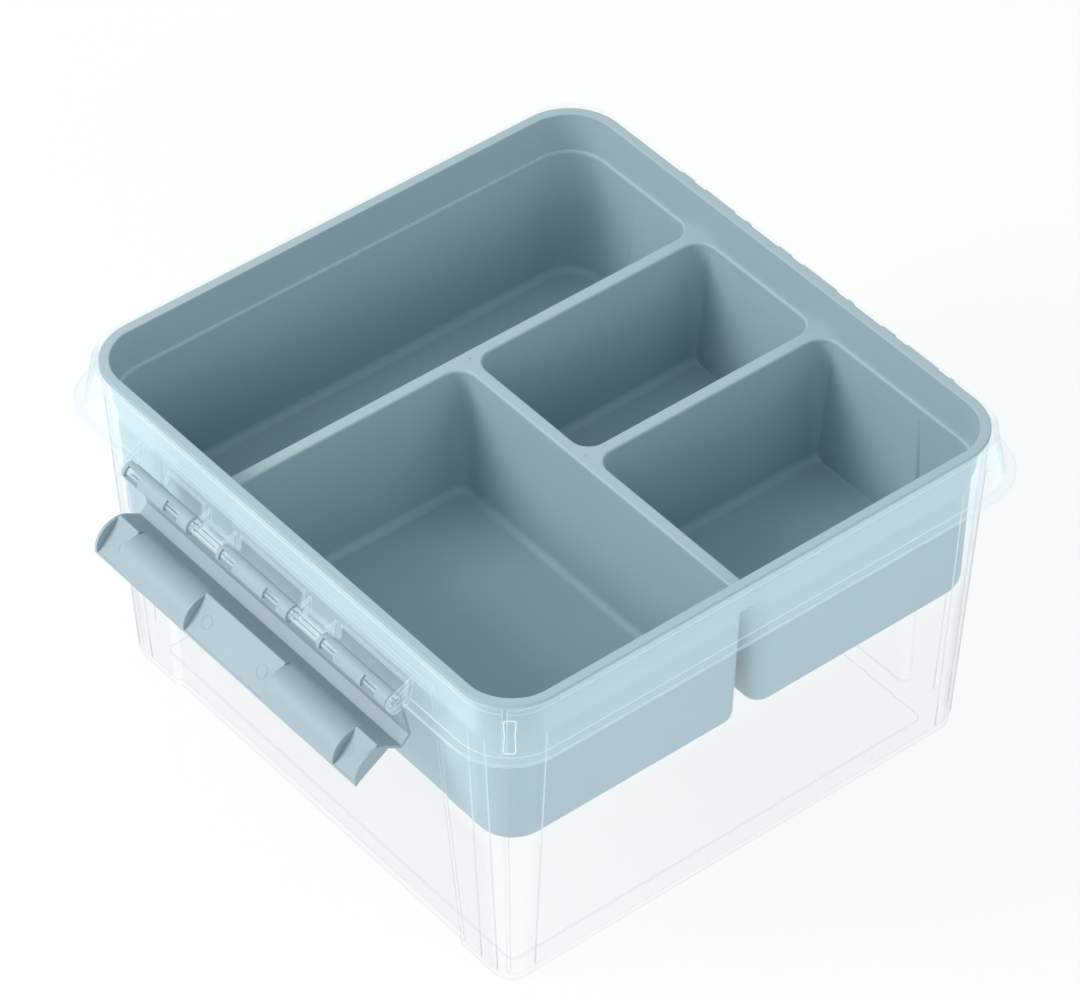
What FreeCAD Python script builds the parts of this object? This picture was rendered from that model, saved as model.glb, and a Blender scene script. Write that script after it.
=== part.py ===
"""Clip-handled storage box with a four-compartment insert: a parts organizer.

Four moulded pieces: the clear box, the insert that hangs in its rim, and one clip handle on each X side.
Millimetres. +Z is up, the origin is the middle of the resting face, and the clip handles are on the X sides.
"""
import FreeCAD, Part
import math
import os

Vector = FreeCAD.Vector

# Box: plan of the opening in the rim, and the wall below it
OPENING_X = 391.0
OPENING_Y = 409.4
OPENING_RADIUS = 38.5
BOX_HEIGHT = 243.0
BOX_WALL = 1.8
BOX_FLOOR = 2.2
WALL_CORNER = 27.0
WALL_TAPER = 12.5
BASE_ROUND = 4.5
BASE_BAND = 16.0
BASE_RAISE = 1.2

# Box rim: a seat for the insert, a flared skirt that turns down outside, and a flange at the skirt's foot
SEAT_DEPTH = 2.8
SEAT_WIDTH = 5.2
SEAT_TAPER = 1.7
RIM_WALL = 2.0
RIM_CORNER = 35.5
RIM_CROWN = 0.8
SKIRT_HEIGHT = 33.3
SKIRT_WALL = 1.8
SKIRT_FLARE = 5.1
SKIRT_CORNER = 38.6
FLANGE_WIDTH = 5.0
FLANGE_THICK = 2.0
FLANGE_CORNER = 41.6

# Web and rib on the diagonal of each corner of the box
CORNER_WEB = 2.4
CORNER_RIB_HEIGHT = 0.5
CORNER_RIB_FOOT = 10.0

# Hand recess under each clip handle
RECESS_TOP_DEPTH = 3.0
RECESS_BASE_DEPTH = 4.3
RECESS_TOP_HALF = 131.0
RECESS_BASE_HALF = 139.0
RECESS_ROUND = 4.0

# Hinge bar of a clip handle, moulded on the box between two ears
BAR_OUT = 16.3
BAR_DROP = 30.4
BAR_RADIUS = 4.1
BAR_RIB = 2.8
BAR_HALF = 127.0
EAR_THICK = 3.4
EAR_RADIUS = 6.2
BRACKET_THICK = 2.2
BRACKET_GAP = 1.0
BAR_WEB = 1.8

# Clip handle
CLIP_HALF = 126.0
CLIP_WALL = 1.8
KNUCKLE_BORE_GAP = 0.1
KNUCKLE_WALL = 2.0
KNUCKLE_OPENING = 70.0
SIDE_KNUCKLE_LENGTH = 63.5
MIDDLE_KNUCKLE_LENGTH = 67.0
WINDOW_LENGTH = 13.0
NEAR_WINDOW_INSET = 2.5
FAR_WINDOW_INSET = 9.5
WINDOW_MIDDLE = 30.0
WINDOW_SPAN = 75.0
PLATE_DROP = 33.6
PLATE_LEAN = 11.8
HOOK_OUT = 6.5
HOOK_DROP = 6.4
CHANNEL_OUT = 15.5
CHANNEL_RISE = 9.2
GRIP_OUT = 17.0
GRIP_DROP = 19.4
GRIP_BULGE = 6.0
BULGE_START = 0.55
END_PAD = 21.0
MIDDLE_PAD_HALF = 38.0
CLIP_END_WALL = 1.8
TIP_BEAD = 2.4

# Openings in the skirt behind the knuckles
SKIRT_WINDOW_HEIGHT = 9.3
SKIRT_WINDOW_LENGTH = 60.0
SHORT_SKIRT_WINDOW = 35.0
SKIRT_WINDOW_INSET = 1.5
SHORT_WINDOW_INSET = 6.0

# Insert
LIP_GAP = 0.5
LIP_SEAT_GAP = 0.3
LIP_THICK = 2.4
LIP_WIDTH = 6.6
LIP_ROUND = 0.9
INSERT_WALL = 1.9
COLLAR_GAP = 0.4
COLLAR_HEIGHT = 26.0
COLLAR_TAPER = 2.6
LEDGE = 2.2
TUB_DEPTH = 95.0
TUB_TAPER = 3.2
TUB_FLOOR = 2.0
TUB_ROUND = 5.5
TUB_CORNER = 12.5
MOUTH_ROUND = 1.8
RECESS_CLEARANCE = 0.6
LONG_DIVIDER_Y = 75.2
SHORT_DIVIDER_Y = -40.0
CROSS_DIVIDER_X = 0.0
DIVIDER_WIDTH = 9.0


def rectangle(low_x, high_x, low_y, high_y, radii):
    """Plan corners (x, y, radius) of a rectangle; radii go anticlockwise from high x, low y."""
    places = [(high_x, low_y), (high_x, high_y), (low_x, high_y), (low_x, low_y)]
    return [(x, y, radius) for (x, y), radius in zip(places, radii)]


def frame_plan(outset, radius):
    """The rim opening's rectangle, moved outwards by outset, with corners of one radius."""
    half_x = OPENING_X / 2 + outset
    half_y = OPENING_Y / 2 + outset
    return rectangle(-half_x, half_x, -half_y, half_y, [radius] * 4)


def inset_plan(inset):
    """The rim opening's rounded rectangle, moved inwards by inset all round."""
    return frame_plan(-inset, OPENING_RADIUS - inset)


def rounded_wire(corners, z):
    """Closed wire through plan corners, each turned by an arc of its radius, or sharp where that is 0."""
    count = len(corners)
    starts = []
    ends = []
    middles = []
    for i in range(count):
        x, y, radius = corners[i]
        here = Vector(x, y, z)
        before = Vector(corners[i - 1][0], corners[i - 1][1], z) - here
        after = Vector(corners[(i + 1) % count][0], corners[(i + 1) % count][1], z) - here
        before.normalize()
        after.normalize()
        half_angle = before.getAngle(after) / 2
        reach = radius / math.tan(half_angle)
        bisector = before + after
        bisector.normalize()
        centre = here + bisector * (radius / math.sin(half_angle))
        starts.append(here + before * reach)
        ends.append(here + after * reach)
        middles.append(centre - bisector * radius)
    edges = []
    for i in range(count):
        if corners[i][2] > 0:
            edges.append(Part.Arc(starts[i], middles[i], ends[i]).toShape())
        edges.append(Part.LineSegment(ends[i], starts[(i + 1) % count]).toShape())
    return Part.Wire(edges)


def lofted(low_corners, low_z, high_corners, high_z):
    """Solid between two plans with as many corners each, at two heights."""
    wires = [rounded_wire(low_corners, low_z), rounded_wire(high_corners, high_z)]
    return Part.makeLoft(wires, True, True)


def drafted(top_corners, top_z, foot_z, taper):
    """Rectangular block whose four sides draw in by taper from top to foot, with a true cone at each corner."""
    signs = [(1, -1), (1, 1), (-1, 1), (-1, -1)]
    centres = [Vector(x - sx * r, y - sy * r, 0) for (x, y, r), (sx, sy) in zip(top_corners, signs)]
    heights = [(foot_z, taper), (top_z, 0.0)]
    core = Part.Face(Part.makePolygon(centres + [centres[0]]))
    core.translate(Vector(0, 0, foot_z))
    pieces = [core.extrude(Vector(0, 0, top_z - foot_z))]
    for i in range(4):
        radius = top_corners[i][2]
        section = polygon_face([(0.0, foot_z), (radius - taper, foot_z), (radius, top_z), (0.0, top_z)])
        quarter = section.revolve(Vector(0, 0, 0), Vector(0, 0, 1), 90)
        quarter.rotate(Vector(0, 0, 0), Vector(0, 0, 1), i * 90 - 90)
        quarter.translate(centres[i])
        pieces.append(quarter)
        other = (i + 1) % 4
        angle = math.radians(i * 90)
        outward = Vector(math.cos(angle), math.sin(angle), 0)
        wires = []
        for z, drawn in heights:
            level = Vector(0, 0, z)
            near = centres[i] + level
            far = centres[other] + level
            near_side = near + outward * (radius - drawn)
            far_side = far + outward * (top_corners[other][2] - drawn)
            wires.append(Part.makePolygon([near, near_side, far_side, far, near]))
        pieces.append(Part.makeLoft(wires, True, True))
    return pieces[0].fuse(pieces[1:]).removeSplitter()


def level_edges(solid, z):
    """Edges that lie in the plane at height z."""
    found = []
    for edge in solid.Edges:
        box = edge.BoundBox
        if abs(box.ZMin - z) < 1e-4 and abs(box.ZMax - z) < 1e-4:
            found.append(edge)
    return found


def polygon_face(points):
    """Face in the XZ plane through (x, z) points."""
    corners = [Vector(x, 0, z) for x, z in points]
    return Part.Face(Part.makePolygon(corners + [corners[0]]))


def mirrored(shape):
    """The shape and its mirror image on the other X side."""
    return [shape, shape.mirror(Vector(0, 0, 0), Vector(1, 0, 0))]


def turned(shape):
    """The shape and its copy turned half way round the upright axis."""
    copy = shape.copy()
    copy.rotate(Vector(0, 0, 0), Vector(0, 0, 1), 180)
    return [shape, copy]


# Heights and offsets that several pieces share
skirt_foot_z = BOX_HEIGHT - SKIRT_HEIGHT
seat_z = BOX_HEIGHT - SEAT_DEPTH
under_seat_z = seat_z - SKIRT_WALL
wall_top_inset = SEAT_WIDTH - BOX_WALL
wall_foot_inset = wall_top_inset + SEAT_TAPER
skirt_foot_outset = RIM_WALL + SKIRT_FLARE
bar_x = OPENING_X / 2 + BAR_OUT
bar_z = BOX_HEIGHT - BAR_DROP
bore_radius = BAR_RADIUS + KNUCKLE_BORE_GAP
knuckle_radius = bore_radius + KNUCKLE_WALL


def recess_wedge(inset, top_z, foot_z):
    """What the hand recess takes from the right wall; inset moves its faces into the box."""

    def plan(z):
        share = (skirt_foot_z - z) / skirt_foot_z
        depth = RECESS_TOP_DEPTH + (RECESS_BASE_DEPTH - RECESS_TOP_DEPTH) * share
        half = RECESS_TOP_HALF + (RECESS_BASE_HALF - RECESS_TOP_HALF) * share
        wall_x = OPENING_X / 2 - wall_foot_inset - WALL_TAPER * share
        inner_x = wall_x - depth - inset
        outer_x = wall_x + depth
        inner_half = half + inset * math.tan(math.radians(22.5))
        outer_half = inner_half + outer_x - inner_x
        return [
            (outer_x, -outer_half, 0),
            (outer_x, outer_half, 0),
            (inner_x, inner_half, RECESS_ROUND),
            (inner_x, -inner_half, RECESS_ROUND),
        ]

    return lofted(plan(foot_z), foot_z, plan(top_z), top_z)


def wall_block(inset, foot_z, round_radius):
    """The box's wall and floor form below the rim as a solid, moved inwards by inset."""
    shoulder_z = skirt_foot_z + inset
    share = (skirt_foot_z - foot_z) / skirt_foot_z
    neck_plan = frame_plan(-wall_top_inset - inset, WALL_CORNER + SEAT_TAPER - inset)
    neck = drafted(neck_plan, BOX_HEIGHT, shoulder_z, SEAT_TAPER)
    body_plan = frame_plan(-wall_foot_inset - inset, WALL_CORNER - inset)
    body = drafted(body_plan, shoulder_z, foot_z, WALL_TAPER * share)
    body = body.makeFillet(round_radius, level_edges(body, foot_z))
    return neck.fuse(body.cut(mirrored(recess_wedge(inset, shoulder_z, foot_z - 1))))


def skirt_outset(z):
    """How far the skirt's outer face stands out from the opening at height z."""
    return RIM_WALL + SKIRT_FLARE * (seat_z - z) / (seat_z - skirt_foot_z)


def skirt_corner(z):
    """Corner radius of the skirt's outer face at height z."""
    return RIM_CORNER + (SKIRT_CORNER - RIM_CORNER) * (seat_z - z) / (seat_z - skirt_foot_z)


def skirt_plan(z, wall):
    """Plan of the skirt's outer face at height z, or of its inner face when wall is its thickness."""
    return frame_plan(skirt_outset(z) - wall, skirt_corner(z) - wall)


def rim():
    """Upstand, flared skirt, flange and the plate that the insert's seat is cut from."""
    upstand = drafted(frame_plan(RIM_WALL, RIM_CORNER), BOX_HEIGHT, seat_z, 0.0)
    skirt = lofted(skirt_plan(skirt_foot_z, 0), skirt_foot_z, skirt_plan(seat_z, 0), seat_z)
    under = lofted(skirt_plan(skirt_foot_z, SKIRT_WALL), skirt_foot_z,
                   skirt_plan(under_seat_z, SKIRT_WALL), under_seat_z)
    flange_outset = skirt_foot_outset + FLANGE_WIDTH
    flange = drafted(frame_plan(flange_outset, FLANGE_CORNER), skirt_foot_z + FLANGE_THICK, skirt_foot_z, 0.0)
    flange = flange.cut(mirrored(clip_gap()) + [skirt])
    return upstand.fuse([skirt.cut(under), flange])


def clip_gap():
    """The stretch between the ears where the flange is left off, so that the clip handle can swing."""
    inner_x = OPENING_X / 2 + skirt_foot_outset - SKIRT_WALL
    width = SKIRT_WALL + 2 * FLANGE_WIDTH
    return Part.makeBox(width, 2 * BAR_HALF, 3 * FLANGE_THICK,
                        Vector(inner_x, -BAR_HALF, skirt_foot_z - FLANGE_THICK))


def skirt_windows():
    """Openings through the right side's skirt behind the three knuckles, from its foot up."""
    low_x = OPENING_X / 2
    width = skirt_foot_outset + FLANGE_WIDTH
    side_low, middle, side_high = knuckle_spans()
    lows = [
        (side_low[1] - SHORT_WINDOW_INSET - SHORT_SKIRT_WINDOW, SHORT_SKIRT_WINDOW),
        (middle[0] + SKIRT_WINDOW_INSET, SKIRT_WINDOW_LENGTH),
        (side_high[0] + SKIRT_WINDOW_INSET, SKIRT_WINDOW_LENGTH),
    ]
    boxes = []
    for low_y, length in lows:
        corner = Vector(low_x, low_y, skirt_foot_z - 1)
        boxes.append(Part.makeBox(width, length, SKIRT_WINDOW_HEIGHT + 1, corner))
    return boxes


def bar_section():
    """Cross-shaped section of the hinge bar, with rounded rib tips."""
    disc = Part.Face(Part.Wire(Part.makeCircle(BAR_RADIUS, Vector(0, 0, 0), Vector(0, 1, 0))))
    rib = polygon_face([(-BAR_RADIUS, -BAR_RIB / 2), (BAR_RADIUS, -BAR_RIB / 2),
                        (BAR_RADIUS, BAR_RIB / 2), (-BAR_RADIUS, BAR_RIB / 2)])
    upright = rib.copy()
    upright.rotate(Vector(0, 0, 0), Vector(0, 1, 0), 90)
    return disc.common(rib.fuse(upright)).removeSplitter()


def bar_plate(low_y, thick, radius):
    """A plate across the bar that joins it to the skirt: round about the bar, straight to the skirt."""
    top_z = bar_z + 2 * radius
    top_x = OPENING_X / 2 + skirt_outset(top_z) - SKIRT_WALL / 2
    foot_x = OPENING_X / 2 + skirt_foot_outset - SKIRT_WALL / 2
    above = Vector(bar_x, 0, bar_z + radius)
    below = Vector(bar_x, 0, bar_z - radius)
    foot = Vector(foot_x, 0, skirt_foot_z)
    top = Vector(top_x, 0, top_z)
    nose = Part.Arc(above, Vector(bar_x + radius, 0, bar_z), below).toShape()
    lines = [Part.LineSegment(a, b).toShape() for a, b in ((below, foot), (foot, top), (top, above))]
    plate = Part.Face(Part.Wire([nose] + lines)).extrude(Vector(0, thick, 0))
    plate.translate(Vector(0, low_y, 0))
    return plate


def knuckle_spans():
    """The stretches of the hinge line that the clip handle's three knuckles cover."""
    side_inner = CLIP_HALF - SIDE_KNUCKLE_LENGTH
    middle = MIDDLE_KNUCKLE_LENGTH / 2
    return [(-CLIP_HALF, -side_inner), (-middle, middle), (side_inner, CLIP_HALF)]


def hinge_bar():
    """The right hinge bar with its ears, its brackets between the knuckles and a web to the skirt."""
    bar = bar_section().extrude(Vector(0, 2 * BAR_HALF, 0))
    bar.translate(Vector(bar_x, -BAR_HALF, bar_z))
    pieces = [bar_plate(BAR_HALF, EAR_THICK, EAR_RADIUS)]
    pieces.append(bar_plate(-BAR_HALF - EAR_THICK, EAR_THICK, EAR_RADIUS))
    spans = knuckle_spans()
    for (_, low_end), (high_start, _) in zip(spans, spans[1:]):
        low = low_end + BRACKET_GAP
        high = high_start - BRACKET_GAP
        pieces.append(bar_plate(low, BRACKET_THICK, BAR_RADIUS))
        pieces.append(bar_plate(high - BRACKET_THICK, BRACKET_THICK, BAR_RADIUS))
        inner_x = OPENING_X / 2 + skirt_outset(bar_z) - SKIRT_WALL / 2
        corner = Vector(inner_x, low, bar_z - BAR_WEB / 2)
        pieces.append(Part.makeBox(bar_x - inner_x, high - low, BAR_WEB, corner))
    return bar.fuse(pieces)


def diagonal(outset, radius):
    """How far a plan's corner arc reaches along the diagonal from the centre of the opening's corner."""
    square = (OPENING_RADIUS + outset) * math.sqrt(2)
    return square - radius * (math.sqrt(2) - 1)


def corner_webs():
    """At each corner, a web that ties skirt to wall and a low rib that runs on down the wall."""
    top = diagonal(-wall_top_inset, WALL_CORNER + SEAT_TAPER) - BOX_WALL / 2
    foot = diagonal(-wall_foot_inset, WALL_CORNER)
    base_taper = WALL_TAPER * (skirt_foot_z - CORNER_RIB_FOOT) / skirt_foot_z
    base = diagonal(-wall_foot_inset - base_taper, WALL_CORNER - base_taper)
    flange = diagonal(skirt_foot_outset, SKIRT_CORNER) - SKIRT_WALL / 2
    crown = diagonal(RIM_WALL, RIM_CORNER) - SKIRT_WALL / 2
    points = [
        (base - BOX_WALL / 2, CORNER_RIB_FOOT),
        (base + CORNER_RIB_HEIGHT, CORNER_RIB_FOOT),
        (foot + CORNER_RIB_HEIGHT, skirt_foot_z),
        (flange, skirt_foot_z),
        (crown, under_seat_z + SKIRT_WALL / 2),
        (top, under_seat_z + SKIRT_WALL / 2),
        (foot - BOX_WALL / 2, skirt_foot_z),
    ]
    web = polygon_face(points).extrude(Vector(0, CORNER_WEB, 0))
    web.translate(Vector(0, -CORNER_WEB / 2, 0))
    webs = []
    for sign_x in (-1, 1):
        for sign_y in (-1, 1):
            copy = web.copy()
            copy.rotate(Vector(0, 0, 0), Vector(0, 0, 1), math.degrees(math.atan2(sign_y, sign_x)))
            centre_x = sign_x * (OPENING_X / 2 - OPENING_RADIUS)
            copy.translate(Vector(centre_x, sign_y * (OPENING_Y / 2 - OPENING_RADIUS), 0))
            webs.append(copy)
    return webs


def base_hollow():
    """The shallow raise of the underside inside the band that the box stands on."""
    plan = inset_plan(wall_foot_inset + WALL_TAPER + BASE_BAND)
    return drafted(plan, BASE_RAISE, -1, 0.0)


def storage_box():
    """The clear box with its rim, skirt, flange, hinge bars and hand recesses."""
    outside = wall_block(0, 0, BASE_ROUND).common(Part.makeBox(
        2 * OPENING_X, 2 * OPENING_Y, seat_z, Vector(-OPENING_X, -OPENING_Y, 0)))
    windows = []
    for window in skirt_windows():
        windows += turned(window)
    shell = outside.fuse([rim().cut(windows)] + corner_webs())
    opening = drafted(inset_plan(0), BOX_HEIGHT, seat_z, 0.0)
    shell = shell.cut([wall_block(BOX_WALL, BOX_FLOOR + BASE_RAISE, BASE_ROUND - BOX_WALL), opening, base_hollow()])
    shell = shell.fuse(turned(hinge_bar())).removeSplitter()
    return shell.makeFillet(RIM_CROWN, level_edges(shell, BOX_HEIGHT))


# Clip handle points in its own (out, up) plane, from the bar's centre: it hangs straight down, out is positive
plate_top = (CLIP_WALL / 2 - knuckle_radius, 0.0)
plate_foot = (-PLATE_LEAN, -PLATE_DROP)
hook_foot = (plate_foot[0] + HOOK_OUT, plate_foot[1] - HOOK_DROP)
grip_top = (hook_foot[0] + CHANNEL_OUT, hook_foot[1] + CHANNEL_RISE)
grip_tip = (grip_top[0] + GRIP_OUT, grip_top[1] - GRIP_DROP)
bulge_start = (hook_foot[0] + CHANNEL_OUT * BULGE_START, hook_foot[1] + CHANNEL_RISE * BULGE_START)


def round_end(point, radius):
    """Disc in the XZ plane round an (x, z) point."""
    centre = Vector(point[0], 0, point[1])
    return Part.Face(Part.Wire(Part.makeCircle(radius, centre, Vector(0, 1, 0))))


def strip(points):
    """Face of a wall whose middle line runs straight through (x, z) points, round at each but the last."""
    pieces = [round_end(point, CLIP_WALL / 2) for point in points[:-1]]
    for a, b in zip(points, points[1:]):
        start = Vector(a[0], 0, a[1])
        end = Vector(b[0], 0, b[1])
        along = end - start
        along.normalize()
        across = Vector(-along.z, 0, along.x) * (CLIP_WALL / 2)
        corners = [start + across, end + across, end - across, start - across]
        pieces.append(Part.Face(Part.makePolygon(corners + [corners[0]])))
    return pieces[0].fuse(pieces[1:]).removeSplitter()


def bulge_arc(offset):
    """Arc of the finger bulge from the channel's wall over its crown to the tip, moved outwards by offset."""
    start = Vector(bulge_start[0], 0, bulge_start[1])
    tip = Vector(grip_tip[0], 0, grip_tip[1])
    chord = tip - Vector(grip_top[0], 0, grip_top[1])
    outward = Vector(-chord.z, 0, chord.x)
    outward.normalize()
    crown = tip - chord * 0.5 + outward * GRIP_BULGE
    circle = Part.Circle(start, crown, tip)
    grown = (circle.Radius + offset) / circle.Radius
    return [circle.Center + (point - circle.Center) * grown for point in (start, crown, tip)]


def bulge_face(filled):
    """Face of the finger bulge's wall, or of the whole lens under it where the bulge is closed at an end."""
    outer = bulge_arc(CLIP_WALL / 2)
    inner = bulge_arc(-CLIP_WALL / 2)
    under = Part.LineSegment(inner[2], inner[0]) if filled else Part.Arc(inner[2], inner[1], inner[0])
    edges = [
        Part.Arc(*outer).toShape(),
        Part.LineSegment(outer[2], inner[2]).toShape(),
        under.toShape(),
        Part.LineSegment(inner[0], outer[0]).toShape(),
    ]
    return Part.Face(Part.Wire(edges)).fuse(round_end(bulge_start, CLIP_WALL / 2)).removeSplitter()


def slab(face, low_y, high_y):
    """Extrude a face of the XZ plane from one y to another."""
    solid = face.extrude(Vector(0, high_y - low_y, 0))
    solid.translate(Vector(0, low_y, 0))
    return solid


def clip_knuckle(low_y, high_y):
    """One C-shaped knuckle, open towards the box, with a window near each end."""
    length = high_y - low_y
    ring = Part.makeCylinder(knuckle_radius, length, Vector(0, low_y, 0), Vector(0, 1, 0))
    bore = Part.makeCylinder(bore_radius, length + 2, Vector(0, low_y - 1, 0), Vector(0, 1, 0))
    reach = 2 * knuckle_radius

    def sector(low_angle, high_angle):
        points = [(0.0, 0.0)]
        for angle in (low_angle, high_angle):
            turn = math.radians(angle)
            points.append((reach * math.cos(turn), reach * math.sin(turn)))
        return polygon_face(points)

    mouth = sector(180 - KNUCKLE_OPENING, 180)
    window = sector(WINDOW_MIDDLE - WINDOW_SPAN / 2, WINDOW_MIDDLE + WINDOW_SPAN / 2)
    cuts = [bore, slab(mouth, low_y - 1, high_y + 1)]
    near = low_y + NEAR_WINDOW_INSET
    far = high_y - FAR_WINDOW_INSET
    cuts.append(slab(window, near, near + WINDOW_LENGTH))
    cuts.append(slab(window, far - WINDOW_LENGTH, far))
    return ring.cut(cuts)


def clip_handle():
    """The right clip handle hanging from its bar: knuckles, plate, hook channel and finger grip."""
    plate = slab(strip([(plate_top[0], -knuckle_radius / 2), plate_foot, hook_foot, bulge_start]),
                 -CLIP_HALF, CLIP_HALF)
    spans = knuckle_spans()
    for (_, low_end), (high_start, _) in zip(spans, spans[1:]):
        size = 2 * knuckle_radius
        corner = Vector(-1.5 * knuckle_radius, low_end, -knuckle_radius)
        plate = plate.cut(Part.makeBox(size, high_start - low_end, size, corner))
    pad = strip([bulge_start, grip_top, grip_tip])
    bulge = bulge_face(False)
    end = bulge_face(True)
    pad_inner = CLIP_HALF - END_PAD
    pieces = [
        slab(end, -CLIP_HALF, CLIP_END_WALL - CLIP_HALF),
        slab(pad, CLIP_END_WALL - CLIP_HALF, -pad_inner),
        slab(end, -pad_inner, CLIP_END_WALL - pad_inner),
        slab(bulge, CLIP_END_WALL - pad_inner, -MIDDLE_PAD_HALF - CLIP_END_WALL),
        slab(end, -MIDDLE_PAD_HALF - CLIP_END_WALL, -MIDDLE_PAD_HALF),
    ]
    pieces += [piece.mirror(Vector(0, 0, 0), Vector(0, 1, 0)) for piece in pieces]
    pieces.append(slab(pad, -MIDDLE_PAD_HALF, MIDDLE_PAD_HALF))
    pieces.append(slab(round_end(grip_tip, TIP_BEAD / 2), -CLIP_HALF, CLIP_HALF))
    pieces += [clip_knuckle(low_y, high_y) for low_y, high_y in spans]
    clip = plate.fuse(pieces).removeSplitter()
    clip.translate(Vector(bar_x, 0, bar_z))
    return clip


# Insert: offsets from the rim opening, and the heights of its floor levels
lip_foot_z = seat_z + LIP_SEAT_GAP
insert_top_z = lip_foot_z + LIP_THICK
collar_top_inset = LIP_GAP + LIP_WIDTH
collar_foot_inset = collar_top_inset + COLLAR_TAPER
land_z = insert_top_z - COLLAR_HEIGHT
land_foot_z = land_z - INSERT_WALL
tub_floor_z = land_z - TUB_DEPTH
tub_top_inset = collar_foot_inset + LEDGE


def tub_plans():
    """Plans of the four tubs' mouths: rear, large, middle and front."""
    edge_x = OPENING_X / 2 - tub_top_inset
    edge_y = OPENING_Y / 2 - tub_top_inset
    half = DIVIDER_WIDTH / 2
    outer = OPENING_RADIUS - tub_top_inset
    inner = TUB_CORNER
    left = CROSS_DIVIDER_X - half
    right = CROSS_DIVIDER_X + half
    return [
        rectangle(-edge_x, edge_x, LONG_DIVIDER_Y + half, edge_y, [inner, outer, outer, inner]),
        rectangle(-edge_x, left, -edge_y, LONG_DIVIDER_Y - half, [inner, inner, inner, outer]),
        rectangle(right, edge_x, SHORT_DIVIDER_Y + half, LONG_DIVIDER_Y - half, [inner] * 4),
        rectangle(right, edge_x, -edge_y, SHORT_DIVIDER_Y - half, [outer, inner, inner, inner]),
    ]


def grown(corners, outset):
    """A rectangular plan moved outwards by outset all round."""
    signs = [(1, -1), (1, 1), (-1, 1), (-1, -1)]
    return [(x + sx * outset, y + sy * outset, r + outset) for (x, y, r), (sx, sy) in zip(corners, signs)]


def tub(corners, wall, top_z):
    """A tub as a solid with a rounded foot: the hollow itself, or its outside where wall is its thickness."""
    floor_z = tub_floor_z - (TUB_FLOOR if wall else 0.0)
    slope = TUB_TAPER / TUB_DEPTH
    plan = grown(corners, wall - slope * (land_z - top_z))
    solid = drafted(plan, top_z, floor_z, slope * (top_z - floor_z))
    solid = solid.makeFillet(TUB_ROUND + wall, level_edges(solid, floor_z))
    inset = BOX_WALL + RECESS_CLEARANCE + INSERT_WALL - wall
    return solid.cut(mirrored(recess_wedge(inset, skirt_foot_z, floor_z - 1)))


def mouth_edges(shape):
    """The tubs' edges in the land, without the collar's foot."""
    limit_x = OPENING_X / 2 - tub_top_inset + LEDGE / 2
    limit_y = OPENING_Y / 2 - tub_top_inset + LEDGE / 2
    found = []
    for edge in level_edges(shape, land_z):
        box = edge.BoundBox
        if max(-box.XMin, box.XMax) < limit_x and max(-box.YMin, box.YMax) < limit_y:
            found.append(edge)
    return found


def insert_tray():
    """The insert: a lip, a collar, a level land and four tubs hung below it as one thin moulding."""
    lip = drafted(inset_plan(LIP_GAP), insert_top_z, lip_foot_z, 0.0)
    collar_outset = SEAT_WIDTH + COLLAR_GAP
    collar = drafted(inset_plan(collar_outset), lip_foot_z, land_foot_z,
                     collar_foot_inset - INSERT_WALL - collar_outset)
    plans = tub_plans()
    outside = lip.fuse([collar] + [tub(plan, INSERT_WALL, land_foot_z) for plan in plans])
    mouth = drafted(inset_plan(collar_top_inset), insert_top_z, land_z, COLLAR_TAPER)
    shape = outside.cut([mouth] + [tub(plan, 0.0, land_z) for plan in plans]).removeSplitter()
    shape = shape.makeFillet(MOUTH_ROUND, mouth_edges(shape))
    return shape.makeFillet(LIP_ROUND, level_edges(shape, insert_top_z))


def main():
    os.makedirs("parts", exist_ok=True)
    clips = turned(clip_handle())
    parts = {
        "storage_box": storage_box(),
        "insert_tray": insert_tray(),
        "clip_handle_left": clips[1],
        "clip_handle_right": clips[0],
    }
    for name, shape in parts.items():
        shape.exportStep("parts/" + name + ".step")
        box = shape.BoundBox
        corners = [round(v, 1) for v in (box.XMin, box.YMin, box.ZMin, box.XMax, box.YMax, box.ZMax)]
        print(name, len(shape.Solids), "solid", shape.isValid(), round(shape.Volume / 1000, 1), "cm3", corners)


main()
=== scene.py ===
# %% [markdown]
# # A clip-handled storage box with a compartment insert
# Four moulded pieces come in as a fixed frame: a clear box, a blue-grey insert and two clip handles.
# This lesson dresses them: each plastic gets a procedural material, the marks that a mould leaves are
# added as thin pieces, and a soft white studio lights the whole. Lengths are metres, +Z is up.

# %% Imports
import bpy
import math
import numpy as np
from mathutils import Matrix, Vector


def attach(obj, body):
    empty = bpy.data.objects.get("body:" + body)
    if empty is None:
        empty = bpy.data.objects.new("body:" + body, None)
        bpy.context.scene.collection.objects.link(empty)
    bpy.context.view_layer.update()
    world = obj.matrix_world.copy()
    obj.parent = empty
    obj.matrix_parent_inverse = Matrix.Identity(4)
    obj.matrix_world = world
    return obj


# %% [markdown] ## 1.

# %% Load the frame
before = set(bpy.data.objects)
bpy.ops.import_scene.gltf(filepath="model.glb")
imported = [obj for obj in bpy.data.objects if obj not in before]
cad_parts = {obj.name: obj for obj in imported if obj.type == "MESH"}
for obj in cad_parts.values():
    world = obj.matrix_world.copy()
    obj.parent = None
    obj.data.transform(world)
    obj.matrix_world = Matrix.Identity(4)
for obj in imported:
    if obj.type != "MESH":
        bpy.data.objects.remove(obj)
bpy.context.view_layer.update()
scene = bpy.context.scene


# %% [markdown]
# ## 2. Shader maths in plain Python
# `Value` wraps a node socket, so that `a * 2 + b` adds the Math nodes by itself. Every other node comes
# from `node()`, which takes its type, its settings and what goes into its sockets.

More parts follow.
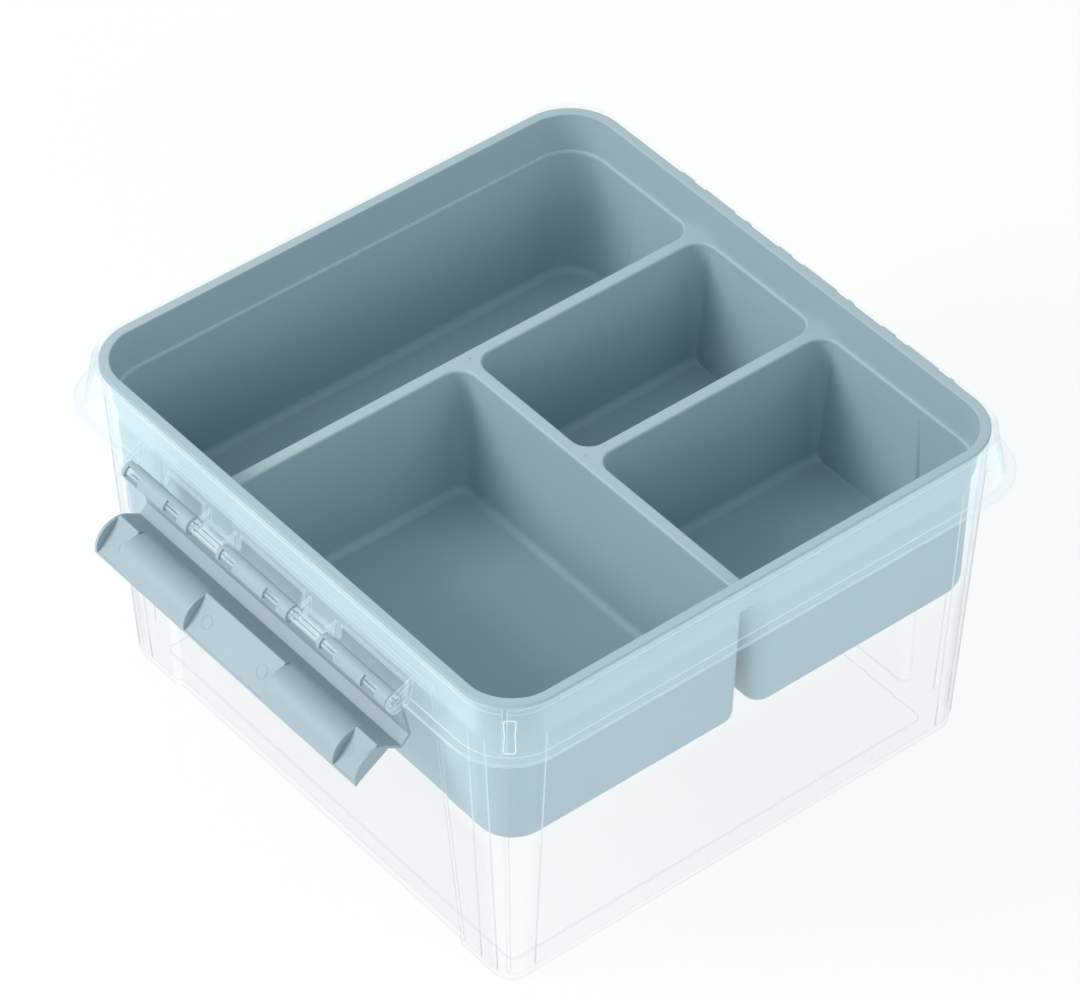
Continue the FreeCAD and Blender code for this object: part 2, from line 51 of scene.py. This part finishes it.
# %% A small class round sockets
class Value:
    """A float, vector or colour socket of one material, with + - * ** and a few functions."""

    def __init__(self, tree, socket):
        self.tree = tree
        self.socket = socket

    def math(self, operation, *others):
        """One Math node: operation(self, *others)."""
        made = self.tree.nodes.new("ShaderNodeMath")
        made.operation = operation
        for slot, source in zip(made.inputs, (self,) + others):
            join(self.tree, source, slot)
        return Value(self.tree, made.outputs[0])

    def __add__(self, other):
        return self.math("ADD", other)

    def __sub__(self, other):
        return self.math("SUBTRACT", other)

    def __mul__(self, other):
        return self.math("MULTIPLY", other)

    def __pow__(self, other):
        return self.math("POWER", other)

    __radd__ = __add__
    __rmul__ = __mul__

    def __rsub__(self, other):
        return self.math("MULTIPLY", -1.0) + other

    def part(self, axis):
        """The x, y or z part of a vector socket, axis 0, 1 or 2."""
        return Value(self.tree, node(self.tree, "ShaderNodeSeparateXYZ", Vector=self).outputs[axis])

    def dot(self, other):
        """How far two directions agree, from -1 to 1."""
        made = node(self.tree, "ShaderNodeVectorMath", {"operation": "DOT_PRODUCT"})
        join(self.tree, self, made.inputs[0])
        join(self.tree, other, made.inputs[1])
        return Value(self.tree, made.outputs["Value"])

    def step(self, low, high):
        """0 below low, 1 above high and smooth between them."""
        span = {"From Min": low, "From Max": high}
        made = node(self.tree, "ShaderNodeMapRange", {"interpolation_type": "SMOOTHSTEP"}, Value=self, **span)
        return Value(self.tree, made.outputs["Result"])


print("Value:", Value.__doc__)


# %% [markdown]
# Two helpers do the wiring: `join` feeds one socket, and `node` adds any node, its settings first and
# its sockets after them. All the materials below go through these two, so each reads like a recipe.

# %% Feed sockets and add nodes
def join(tree, source, target):
    """Feed a socket from a Value, or set it to a plain number, tuple or colour."""
    if isinstance(source, Value):
        tree.links.new(source.socket, target)
    else:
        target.default_value = source


def node(tree, kind, settings=(), **inputs):
    """Any node: its settings first, then its inputs by name as numbers, colours or Values."""
    made = tree.nodes.new(kind)
    for name, setting in dict(settings).items():
        setattr(made, name, setting)
    for name, source in inputs.items():
        join(tree, source, made.inputs[name])
    return made


# %% [markdown]
# A Math node turns a colour grey, so colours are mixed by `blend`, a Mix node. `noise` is the pattern
# that all the plastics share, and `srgb` turns the colour that one sees into the linear light that
# Blender works with.

# %% Colours and patterns
COLOUR_FACTOR, COLOUR_A, COLOUR_B, COLOUR_RESULT = 0, 6, 7, 2


def blend(tree, factor, a, b):
    """Colour mix: a where factor is 0, b where it is 1."""
    made = node(tree, "ShaderNodeMix", {"data_type": "RGBA"})
    for slot, source in ((COLOUR_FACTOR, factor), (COLOUR_A, a), (COLOUR_B, b)):
        join(tree, source, made.inputs[slot])
    return Value(tree, made.outputs[COLOUR_RESULT])


def noise(tree, place, scale, detail=2.0, rough=0.5):
    """Noise from 0 to 1 at that many waves a metre."""
    made = node(tree, "ShaderNodeTexNoise", Vector=place, Scale=scale, Detail=detail, Roughness=rough)
    return Value(tree, made.outputs["Fac"])


def srgb(code):
    """A display colour such as 6F8A93 as linear red, green, blue and an alpha of 1."""
    parts = [int(code[i:i + 2], 16) / 255 for i in (0, 2, 4)]
    return tuple(p / 12.92 if p <= 0.04045 else ((p + 0.055) / 1.055) ** 2.4 for p in parts) + (1.0,)


print("middle grey in linear light", round(srgb("808080")[0], 3))


# %% [markdown]
# Every material starts the same way: a Principled node on the output, and the coordinates of the piece
# itself, which stay with it when it moves. `soft_edges` is the Bevel node: it bends the shading at a
# sharp edge as a small round would, without a single new face.

# %% Start a material
def new_material(name):
    """An empty node material: (material, tree, Principled node, object coordinates)."""
    material = bpy.data.materials.new(name)
    material.use_nodes = True
    tree = material.node_tree
    tree.nodes.clear()
    output = node(tree, "ShaderNodeOutputMaterial")
    shader = node(tree, "ShaderNodeBsdfPrincipled")
    tree.links.new(shader.outputs[0], output.inputs[0])
    place = Value(tree, node(tree, "ShaderNodeTexCoord").outputs["Object"])
    return material, tree, shader, place


def surface_normal(tree):
    """The surface's own direction, before any bump."""
    return Value(tree, node(tree, "ShaderNodeNewGeometry").outputs["Normal"])


def soft_edges(tree, radius, samples):
    """The surface's direction as if every sharp edge had a small round of that radius in metres."""
    return Value(tree, node(tree, "ShaderNodeBevel", {"samples": samples}, Radius=radius).outputs[0])


PLASTIC_IOR = 1.49
print("polypropylene bends light by", PLASTIC_IOR)


# %% [markdown]
# ## 3. Blue-grey polypropylene
# The insert and the clips have a matt skin with a grain of well under a millimetre, tiny pale specks in
# the pigment, and a slow change of tone where the melt cooled unevenly. Noise at three sizes gives those
# three. The flat tops of rim and dividers are painted a shade paler, a painted sheen for the light
# that falls on them from above.

# %% Matt moulded plastic
LAND_Z = 0.2169
TONE_WAVES = 14.0
GRAIN_WAVES = 1500.0
GRAIN_STRENGTH = 0.55
SPECK_WAVES = 2600.0
SPECK_PEAKS = (0.68, 0.80)
SPECK_SHARE = 0.30
SPECK_COLOUR = srgb("DCE8EC")
MATT_ROUGHNESS = 0.46
MATT_VARIATION = 0.16


def grained_plastic(name, base, pale, sheen_top_colour, grain_height):
    """Matt pigmented plastic; grain_height in metres is the depth of its moulded grain.

    Its colour runs from base to pale with slow noise and turns to the given top colour on flat tops at rim
    height, a painted sheen for the light that falls on them. It takes specks where the finest noise peaks.
    Its roughness and its bump both follow the grain."""
    material, tree, shader, place = new_material(name)
    slow = noise(tree, place, TONE_WAVES)
    grain = noise(tree, place, GRAIN_WAVES, 3.0, 0.6)
    speck = noise(tree, place, SPECK_WAVES, 1.0).step(*SPECK_PEAKS)
    tone = blend(tree, (slow - 0.35) * 0.5, srgb(base), srgb(pale))
    level = surface_normal(tree).part(2).step(0.6, 0.95)
    # painted sheen: tops that face up at rim height take a paler colour for the light that falls on them
    painted_sheen_top = level * place.part(2).step(LAND_Z - 0.004, LAND_Z - 0.001)
    tone = blend(tree, painted_sheen_top, tone, srgb(sheen_top_colour))
    tone = blend(tree, speck * SPECK_SHARE, tone, SPECK_COLOUR)
    join(tree, tone, shader.inputs["Base Color"])
    join(tree, MATT_ROUGHNESS + grain * MATT_VARIATION, shader.inputs["Roughness"])
    shader.inputs["IOR"].default_value = PLASTIC_IOR
    height = grain + speck * 0.4
    bump = node(tree, "ShaderNodeBump", Strength=GRAIN_STRENGTH, Distance=grain_height, Height=height)
    join(tree, Value(tree, bump.outputs[0]), shader.inputs["Normal"])
    return material


# the last colour of each is the painted sheen on its flat tops, lit from above
insert_plastic = grained_plastic("insert_plastic", base="9DB3BB", pale="A8BDC4", sheen_top_colour="B0C2C8",
                                 grain_height=0.00006)
clip_plastic = grained_plastic("clip_plastic", base="9CADB5", pale="A6B7BE", sheen_top_colour="A6B7BE",
                               grain_height=0.00004)
print("matt plastics", insert_plastic.name, clip_plastic.name)


# %% [markdown]
# ## 4. Clear polypropylene
# Clear polypropylene is not glass: a wall of two millimetres lets most light straight through and
# scatters the rest as a faint milky veil. Each skin covers `veil` of what lies behind it where it is
# seen square on, and more towards grazing, where the path through the wall is longer. Every edge of
# the moulding is seen through so much plastic that it shows as a pale lilac line. The skirt round the
# rim sits close to the blue insert and gathers its light, so above the flange the veil turns blue, and
# the walls beside the insert's tubs do so faintly.

# %% Where the veil changes
FLANGE_Z = 0.2097
TUB_FLOOR_Z = 0.1219
WALL_X = (0.192, 0.196)
SLANT = (0.40, 0.62)
OUTLINE_SLANT = (0.66, 0.85)


def skirt_zone(place):
    """1 on the skirt, the flange and the hinge webs, 0 on the walls: high up, or far out along X."""
    outside = (place.part(0) ** 2.0).step(WALL_X[0] ** 2, WALL_X[1] ** 2)
    return outside.math("MAXIMUM", place.part(2).step(FLANGE_Z - 0.002, FLANGE_Z + 0.002))


def scatter_colour(tree, place, facing, skirt):
    """The light that the plastic scatters: a pair of colours for each zone, square on and slanted."""
    slant = facing.step(*SLANT)
    wall = blend(tree, slant, srgb("EFEEEC"), srgb("B6B6BC"))
    wall_by_tubs = blend(tree, slant, srgb("E2F1F6"), srgb("CBE2EA"))
    skirt_colour = blend(tree, slant, srgb("D3E5ED"), srgb("ECFBFF"))
    beside = place.part(2).step(TUB_FLOOR_Z - 0.008, TUB_FLOOR_Z + 0.008)
    colour = blend(tree, beside, wall, wall_by_tubs)
    colour = blend(tree, skirt, colour, skirt_colour)
    return blend(tree, facing.step(*OUTLINE_SLANT), colour, srgb("A0A0A8"))


print("veil turns blue over z", FLANGE_Z, "and faintly over z", TUB_FLOOR_Z)


# %% [markdown]
# The material itself: `cover` is how much of what lies behind is hidden and goes to Alpha, a dull base
# takes the lamps, and a weak emission stands for the light that the wall scatters from all round, which
# a surface shader can't gather by itself. `line` is found by comparing the flat direction with the
# rounded one: they differ only at an edge.

# %% Clear moulded plastic
EDGE_ROUND = 0.0012
EDGE_TURN = (0.01, 0.20)
FLOW_WAVES = 22.0
RIPPLE_WAVES = 60.0
RIPPLE_DEPTH = 0.0004
MOST_COVER = 0.95
SKIRT_VEIL = 0.03
SKIRT_SLANT_VEIL = 0.07
SCATTER_STRENGTH = 0.80


def clear_plastic_material(name, veil, edge_veil, line_veil, line_glow):
    """See-through plastic: alpha is veil square on, grows by edge_veil at grazing and line_veil on edges."""
    material, tree, shader, place = new_material(name)
    skirt = skirt_zone(place)
    facing = Value(tree, node(tree, "ShaderNodeLayerWeight", Blend=0.5).outputs["Facing"])
    flow = noise(tree, place, FLOW_WAVES, 3.0)
    rounded = soft_edges(tree, EDGE_ROUND, 4)
    line = (1.0 - rounded.dot(surface_normal(tree))).step(*EDGE_TURN)
    cover = veil + skirt * (SKIRT_VEIL + facing.step(*SLANT) * SKIRT_SLANT_VEIL)
    cover = cover + (facing ** 4.0) * edge_veil + line * line_veil
    join(tree, cover.math("MINIMUM", MOST_COVER), shader.inputs["Alpha"])
    milky = blend(tree, flow, srgb("8C8F93"), srgb("949699"))
    milky = blend(tree, skirt, milky, srgb("748C95"))
    join(tree, blend(tree, line, milky, srgb("8E9096")), shader.inputs["Base Color"])
    edge_glow = blend(tree, skirt, srgb(line_glow), srgb("E4F4FA"))
    glow = blend(tree, line, scatter_colour(tree, place, facing, skirt), edge_glow)
    join(tree, glow, shader.inputs["Emission Color"])
    join(tree, 0.20 + flow * 0.08, shader.inputs["Roughness"])
    shader.inputs["IOR"].default_value = PLASTIC_IOR
    shader.inputs["Specular IOR Level"].default_value = 0.30
    shader.inputs["Emission Strength"].default_value = SCATTER_STRENGTH
    waves = noise(tree, place, RIPPLE_WAVES, 1.0)
    ripple = node(tree, "ShaderNodeBump", Strength=0.25, Distance=RIPPLE_DEPTH, Height=waves,
                  Normal=rounded)
    join(tree, Value(tree, ripple.outputs[0]), shader.inputs["Normal"])
    return material


EDGE_LILAC = "B6B6C2"
clear_plastic = clear_plastic_material("clear_plastic", veil=0.085, edge_veil=0.50, line_veil=0.60,
                                       line_glow=EDGE_LILAC)
rib_plastic = clear_plastic_material("clear_rib", veil=0.45, edge_veil=0.20, line_veil=0.0,
                                     line_glow=EDGE_LILAC)
bright_plastic = clear_plastic_material("clear_bright", veil=0.85, edge_veil=0.0, line_veil=0.0,
                                        line_glow="F4FCFF")
print("clear plastics", clear_plastic.name, rib_plastic.name, bright_plastic.name)


# %% [markdown]
# Each CAD node keeps its mesh and its place and only changes its material: what the frame gave is a
# measured shape, and the dress lies on it.

# %% Assign the materials
def dress(name, material):
    """Give a CAD node one material."""
    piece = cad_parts[name]
    piece.data.materials.clear()
    piece.data.materials.append(material)


dress("storage_box", clear_plastic)
dress("insert_tray", insert_plastic)
dress("clip_handle_left", clip_plastic)
dress("clip_handle_right", clip_plastic)
print("dressed", list(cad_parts))

# %% [markdown]
# ## 5. What the mould leaves
# Small things make a moulding look moulded: ribs up the corner posts, a pinched outline where the web
# behind the skirt meets it, the pips where the insert's two gates broke off, and the circles of the
# ejector pins on the clip handles. A curve with a bevel could draw most of them, but a grid of points
# worked out at once says exactly where each one lies. `piece` makes an object of such a grid and tells
# the frame which body it rides on; `grid_faces` joins the grid's rows.

# %% Mesh from a grid of points
def piece(name, points, faces, material, body, slot):
    """An object from points and faces, with its material, on the body that it moves with."""
    mesh = bpy.data.meshes.new(name)
    mesh.from_pydata(points.reshape(-1, 3).tolist(), [], faces)
    mesh.polygons.foreach_set("use_smooth", np.ones(len(mesh.polygons), dtype=bool))
    mesh.materials.append(material)
    made = bpy.data.objects.new(name, mesh)
    scene.collection.objects.link(made)
    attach(made, body)
    return made


def grid_faces(rows, sides, closed, first):
    """Quads between neighbouring rows of a grid whose rows are rings; caps where it isn't closed."""
    row = np.arange(rows if closed else rows - 1)[:, None]
    side = np.arange(sides)[None, :]
    here, after = row * sides, (row + 1) % rows * sides
    turn = (side + 1) % sides
    quads = np.stack([here + side, here + turn, after + turn, after + side], axis=-1) + first
    faces = quads.reshape(-1, 4).tolist()
    if not closed:
        faces.append((np.arange(sides)[::-1] + first).tolist())
        faces.append((np.arange(sides) + (rows - 1) * sides + first).tolist())
    return faces


print("an open grid of 3 rings of 4 points has", len(grid_faces(3, 4, False, 0)), "faces")


# %% [markdown]
# A tube is a ring of points carried along a path. Each ring stands square to the path, turned so that
# one of its points looks outwards; that keeps it from twisting. Half of the tube is sunk in the skin.

# %% Tubes along paths
def tubes(name, paths, radius, sides, closed, material, body, slot):
    """Tubes round paths: point + radius (cos a side - sin a up), square to the path at each point."""
    grids, faces, first = [], [], 0
    angle = np.linspace(0, 2 * math.pi, sides + 1)[:-1][None, :, None]
    for path, outward in paths:
        if closed:
            along = np.roll(path, -1, axis=0) - np.roll(path, 1, axis=0)
        else:
            along = np.gradient(path, axis=0)
        along /= np.linalg.norm(along, axis=1, keepdims=True)
        side = np.cross(along, outward)
        side /= np.linalg.norm(side, axis=1, keepdims=True)
        up = np.cross(side, along)
        ring = np.cos(angle) * side[:, None, :] - np.sin(angle) * up[:, None, :]
        grids.append((path[:, None, :] + radius * ring).reshape(-1, 3))
        faces += grid_faces(len(path), sides, closed, first)
        first += len(path) * sides
    return piece(name, np.concatenate(grids), faces, material, body, slot)


TUBE_SIDES = 6
print("each ring of a tube has", TUBE_SIDES, "points")


# %% [markdown]
# ### Ribs on the corner posts
# On the real box fine ribs run up each corner on the outside of the wall, most likely to stiffen the
# post and to keep nested boxes from wedging. A rib is a straight tube from its foot to its top, and
# signs mirror one corner's ribs into the other three. The three are on the X wall, on the round and on
# the Y wall, each given by x and y at its foot and at its top.

# %% Post ribs
RIB_FOOT_Z = 0.010
RIB_TOP_Z = 0.2097
RIB_RADIUS = 0.0005
RIB_ENDS = [((0.1785, 0.1632), (0.1904, 0.1669)),
            ((0.17776, 0.17727), (0.18908, 0.18094)),
            ((0.1578, 0.1877), (0.1584, 0.1996))]
RIB_POINTS = 8
CORNER_SIGNS = [(-1, -1), (1, -1), (1, 1), (-1, 1)]


def post_ribs():
    """Straight lines foot + t (top - foot) up each corner post, mirrored into the four corners."""
    t = np.linspace(0, 1, RIB_POINTS)[:, None]
    paths = []
    for sx, sy in CORNER_SIGNS:
        for foot, top in RIB_ENDS:
            low = np.array([sx * foot[0], sy * foot[1], RIB_FOOT_Z])
            high = np.array([sx * top[0], sy * top[1], RIB_TOP_Z])
            paths.append((low + t * (high - low), np.array([sx, sy, 0.0])))
    return paths


ribs = tubes("post_ribs", post_ribs(), RIB_RADIUS, TUBE_SIDES, False, rib_plastic, "box", "clear_plastic")
print("ribs", len(CORNER_SIGNS) * len(RIB_ENDS), "in", len(ribs.data.polygons), "faces")


# %% [markdown]
# ### Pinched outlines on the skirt
# A web meets each corner of the skirt from behind, and where it ends the outside shows a bright outline
# that is narrow at its waist. The outline is a loop on the skirt: `u` and `v` run round a squarish
# circle, the width is pinched where v is small, and the loop is bent round the corner at the skirt's own
# slope. MARK_HALF is half the width and half the height, MARK_TURN the angle from the X direction.

# %% Pinched outlines
HALF_OPENING = np.array([0.1955, 0.2047])
SKIRT_TOP_Z = 0.2402
SKIRT_OUTSET = (0.0020, 0.0071)
SKIRT_CORNER = (0.0355, 0.0386)
MARK_HALF = (0.0041, 0.0108)
MARK_MIDDLE_Z = 0.2252
MARK_PINCH = 0.26
MARK_TURN = 0.88
MARK_SQUARENESS = 0.35
MARK_POINTS = 72
OUTLINE_RADIUS = 0.0004


def skirt_outlines():
    """Loops s = w(1 - p(1 - v^2))u, z = z0 + h v on each corner, u and v on a squarish circle."""
    t = np.linspace(0, 2 * math.pi, MARK_POINTS + 1)[:-1]
    u = np.sign(np.cos(t)) * np.abs(np.cos(t)) ** MARK_SQUARENESS
    v = np.sign(np.sin(t)) * np.abs(np.sin(t)) ** MARK_SQUARENESS
    across = MARK_HALF[0] * u * (1 - MARK_PINCH * (1 - v ** 2))
    z = MARK_MIDDLE_Z + MARK_HALF[1] * v
    down = (SKIRT_TOP_Z - z) / (SKIRT_TOP_Z - FLANGE_Z)
    outset = SKIRT_OUTSET[0] + (SKIRT_OUTSET[1] - SKIRT_OUTSET[0]) * down
    radius = SKIRT_CORNER[0] + (SKIRT_CORNER[1] - SKIRT_CORNER[0]) * down
    paths = []
    for sx, sy in CORNER_SIGNS:
        turn = MARK_TURN + across / radius
        x = HALF_OPENING[0] + outset - radius + radius * np.cos(turn)
        y = HALF_OPENING[1] + outset - radius + radius * np.sin(turn)
        paths.append((np.stack([sx * x, sy * y, z], axis=-1), np.array([sx, sy, 0.0])))
    return paths


outlines = tubes("skirt_outlines", skirt_outlines(), OUTLINE_RADIUS, TUBE_SIDES, True, bright_plastic,
                 "box", "clear_plastic")
print("outlines in", len(outlines.data.polygons), "faces")


# %% [markdown]
# ### Gate pips on the insert
# The melt enters the insert through two gates on its dividers, and each leaves a round pip with a
# raised middle where it broke off. A pip is a profile turned about an upright axis.

# %% Gate pips
GATE_PLACES = [(0.0020, 0.0727), (0.0015, -0.0375)]
PIP_RADII = [0.0016, 0.0016, 0.0013, 0.0007, 0.0004]
PIP_HEIGHTS = [-0.0003, 0.0001, 0.00014, 0.0001, 0.0004]
PIP_SIDES = 20


def pips(name, places, z, radii, heights, sides, material, body, slot):
    """Turned profiles: rings of each radius at each height over z, closed by a flat cap at each end."""
    angle = np.linspace(0, 2 * math.pi, sides + 1)[:-1]
    radii, heights = np.array(radii)[:, None], np.array(heights)[:, None]
    rings = np.stack([radii * np.cos(angle), radii * np.sin(angle), heights + 0 * angle], axis=-1)
    grids, faces = [], []
    for x, y in places:
        faces += grid_faces(len(radii), sides, False, sum(len(g) for g in grids))
        grids.append((rings + np.array([x, y, z])).reshape(-1, 3))
    return piece(name, np.concatenate(grids), faces, material, body, slot)


gates = pips("gate_pips", GATE_PLACES, LAND_Z, PIP_RADII, PIP_HEIGHTS, PIP_SIDES, insert_plastic,
             "insert", "insert_plastic")
print("gate pips in", len(gates.data.polygons), "faces")


# %% [markdown]
# ### Ejector circles on the clip handles
# Pins push the clip out of its mould and print their round ends on its pads. Each print is a very thin
# ring in the plane of the pad, so the ring's plane is built from the pad's own outward direction.

# %% Ejector circles
PAD_MIDDLE = (0.2312, 0.1727)
PAD_OUTWARD = (0.752, 0.659)
EJECTOR_Y = (-0.108, -0.0265, 0.0265, 0.108)
EJECTOR_RADIUS = 0.0042
EJECTOR_LINE = 0.00013
EJECTOR_POINTS = 40


def ejector_circles(side):
    """Circles in the pads' plane on the clip handle of one X side, -1 or 1."""
    t = np.linspace(0, 2 * math.pi, EJECTOR_POINTS + 1)[:-1]
    outward = np.array([side * PAD_OUTWARD[0], 0.0, PAD_OUTWARD[1]])
    down = np.array([side * PAD_OUTWARD[1], 0.0, -PAD_OUTWARD[0]])
    paths = []
    for y in EJECTOR_Y:
        middle = np.array([side * PAD_MIDDLE[0], y, PAD_MIDDLE[1]])
        ring = np.cos(t)[:, None] * down + np.sin(t)[:, None] * np.array([0.0, 1.0, 0.0])
        paths.append((middle + EJECTOR_RADIUS * ring, outward))
    return paths


tubes("ejector_circles_left", ejector_circles(-1), EJECTOR_LINE, TUBE_SIDES, True, clip_plastic,
      "clip_left", "clip_plastic")
tubes("ejector_circles_right", ejector_circles(1), EJECTOR_LINE, TUBE_SIDES, True, clip_plastic,
      "clip_right", "clip_plastic")


# %% [markdown]
# ## 6. White studio
# The floor and the world are plain white. Rays from the camera see the floor lifted to white, but its
# diffuse part still takes the object's shadow. The world is brighter towards the horizon than overhead,
# as between tall soft boxes, so that walls are light and the compartments' floors stay dark.

# %% Floor material
FLOOR_OWN_WHITE = 0.86


def floor_material():
    """White floor: diffuse paper, with a share of even white for what the camera or a reflection sees."""
    material, tree, shader, place = new_material("floor_white")
    paper = blend(tree, noise(tree, place, 3.0), srgb("FAFAFA"), srgb("FDFDFD"))
    join(tree, paper, shader.inputs["Base Color"])
    shader.inputs["Roughness"].default_value = 1.0
    shader.inputs["Specular IOR Level"].default_value = 0.0
    path = node(tree, "ShaderNodeLightPath")
    seen = Value(tree, path.outputs["Is Camera Ray"]) + Value(tree, path.outputs["Is Glossy Ray"])
    seen = seen + Value(tree, path.outputs["Is Transmission Ray"])
    glow = node(tree, "ShaderNodeEmission", Color=(1, 1, 1, 1), Strength=1.0)
    mix = node(tree, "ShaderNodeMixShader", Fac=seen.math("MINIMUM", 1.0) * FLOOR_OWN_WHITE)
    output = next(n for n in tree.nodes if n.type == "OUTPUT_MATERIAL")
    tree.links.new(shader.outputs[0], mix.inputs[1])
    tree.links.new(glow.outputs[0], mix.inputs[2])
    tree.links.new(mix.outputs[0], output.inputs[0])
    return material


floor_white = floor_material()
print("floor", floor_white.name)


# %% [markdown]
# The floor is a wide flat disc, so that its edge is never in the picture, laid a hair under the box.

# %% Floor disc
def disc(name, radius, rings, sides, z):
    """Flat disc of points r(cos a, sin a), r and a on a regular grid, at height z."""
    r = np.linspace(0.001, radius, rings)[:, None]
    a = np.linspace(0, 2 * math.pi, sides + 1)[None, :-1]
    points = np.stack([r * np.cos(a), r * np.sin(a), np.full_like(r * a, z)], axis=-1)
    ring = np.arange(rings - 1)[:, None] * sides
    spoke = np.arange(sides)[None, :]
    after = (spoke + 1) % sides
    faces = np.stack([ring + spoke, ring + sides + spoke, ring + sides + after, ring + after], axis=-1)
    mesh = bpy.data.meshes.new(name)
    mesh.from_pydata(points.reshape(-1, 3).tolist(), [], faces.reshape(-1, 4).tolist())
    made = bpy.data.objects.new(name, mesh)
    scene.collection.objects.link(made)
    return made


floor = disc("studio_floor", radius=12.0, rings=8, sides=64, z=-0.0005)
floor.data.materials.append(floor_white)
print("floor faces", len(floor.data.polygons))

# %% [markdown]
# The world's strength falls from the horizon to the zenith: a straight run on the height of the
# direction that a ray leaves in.

# %% World
ZENITH_LIGHT = 0.60
HORIZON_LIGHT = 0.80
world = bpy.data.worlds.new("studio_world")
world.use_nodes = True
sky = world.node_tree
background = sky.nodes["Background"]
background.inputs["Color"].default_value = srgb("F2FBFF")
upward = Value(sky, node(sky, "ShaderNodeTexCoord").outputs["Generated"]).part(2).math("ABSOLUTE")
join(sky, HORIZON_LIGHT + upward * (ZENITH_LIGHT - HORIZON_LIGHT), background.inputs["Strength"])
scene.world = world
print("world from", HORIZON_LIGHT, "at the horizon to", ZENITH_LIGHT, "overhead")


# %% [markdown]
# Two soft lamps: a key on the left and a little behind the box, slightly warm, which leaves the soft
# slanting shadow in the far corners of the compartments, and a weak one in front for the near walls.

# %% Lamps
def area_lamp(name, place, target, size, power, colour):
    """A square soft lamp at place, aimed at target."""
    data = bpy.data.lights.new(name, "AREA")
    data.color = colour
    data.size = size
    data.energy = power
    lamp = bpy.data.objects.new(name, data)
    lamp.location = place
    lamp.rotation_euler = (Vector(target) - Vector(place)).to_track_quat("-Z", "Y").to_euler()
    scene.collection.objects.link(lamp)
    return lamp


area_lamp("key_lamp", (-2.2, 1.0, 1.7), (0, 0, 0.2), size=1.2, power=50, colour=(1.0, 0.96, 0.93))
area_lamp("front_lamp", (0.3, -2.6, 1.2), (0, 0, 0.15), size=1.4, power=12, colour=(1.0, 1.0, 1.0))

# %% [markdown]
# A long lens from nearly four metres keeps the box's edges nearly parallel, as a catalogue picture does.
# The camera looks down over the near corner, along the direction that is given below.

# %% Camera
camera_data = bpy.data.cameras.new("studio_camera")
camera_data.lens = 204.5
camera_data.sensor_width = 36.0
camera_data.clip_end = 100.0
camera = bpy.data.objects.new("studio_camera", camera_data)
camera.location = (-1.71348, -2.10783, 2.65918)
camera.rotation_euler = Vector((0.46350, 0.57070, -0.67784)).to_track_quat("-Z", "Y").to_euler()
scene.collection.objects.link(camera)
scene.camera = camera
scene.view_settings.view_transform = "Standard"
print("camera", tuple(round(v, 3) for v in camera.location), "lens", camera_data.lens)
